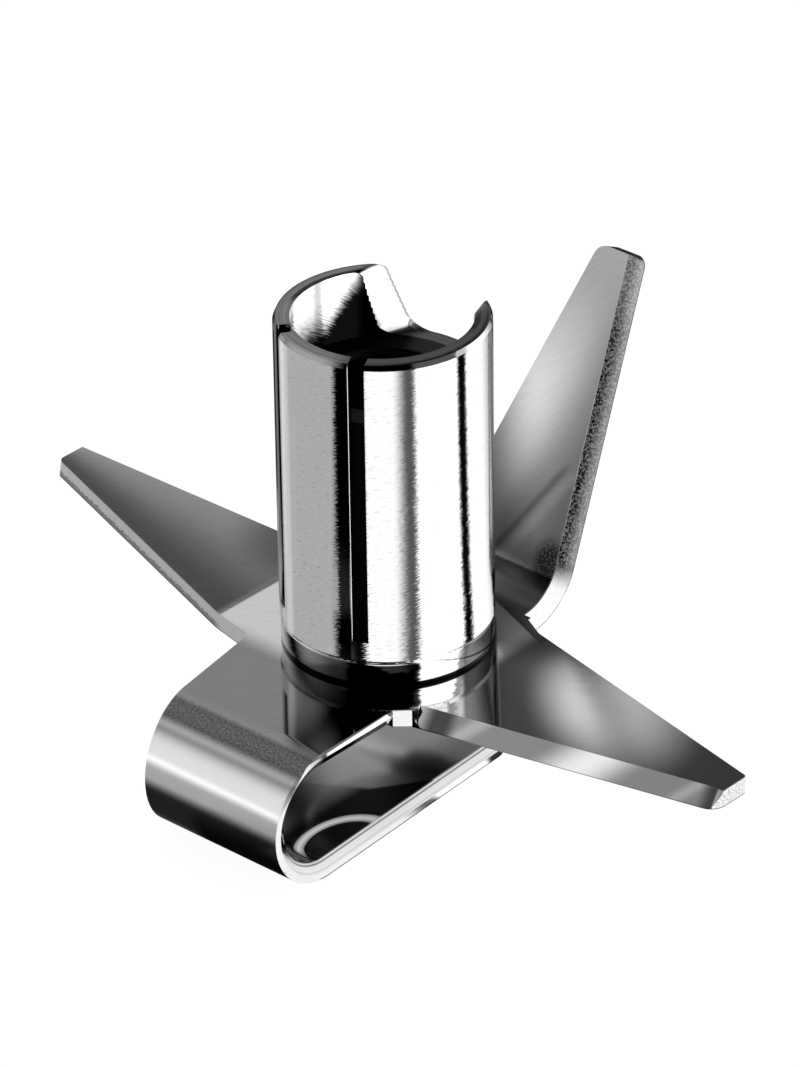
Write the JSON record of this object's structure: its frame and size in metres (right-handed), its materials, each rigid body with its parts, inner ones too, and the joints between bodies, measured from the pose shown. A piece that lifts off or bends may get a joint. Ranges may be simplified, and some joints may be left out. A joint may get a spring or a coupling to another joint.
{
  "type": "immersion blender blade",
  "caption": "Four-armed cutting blade with one arm folded under, on a slit tubular hub with a drive notch and a blind shaft socket.",
  "frame": {"origin": "centre of the shaft socket's floor, on the hub axis and level with the top face of the blade sheet", "axes": "+Z along the hub axis and out of the socket's mouth, +X along the flat arm, -Y along the arm that is folded under"},
  "size_m": [0.045, 0.0308, 0.0258],
  "materials": {
    "blade_steel": "stamped sheet with ground edges, faintly brushed",
    "sleeve_steel": "polished tube with fine scratches",
    "core_steel": "turned"
  },
  "bodies": {
    "root": {"blade": "blade_steel", "hub_sleeve": "sleeve_steel", "hub_core": "core_steel"}
  },
  "joints": []
}
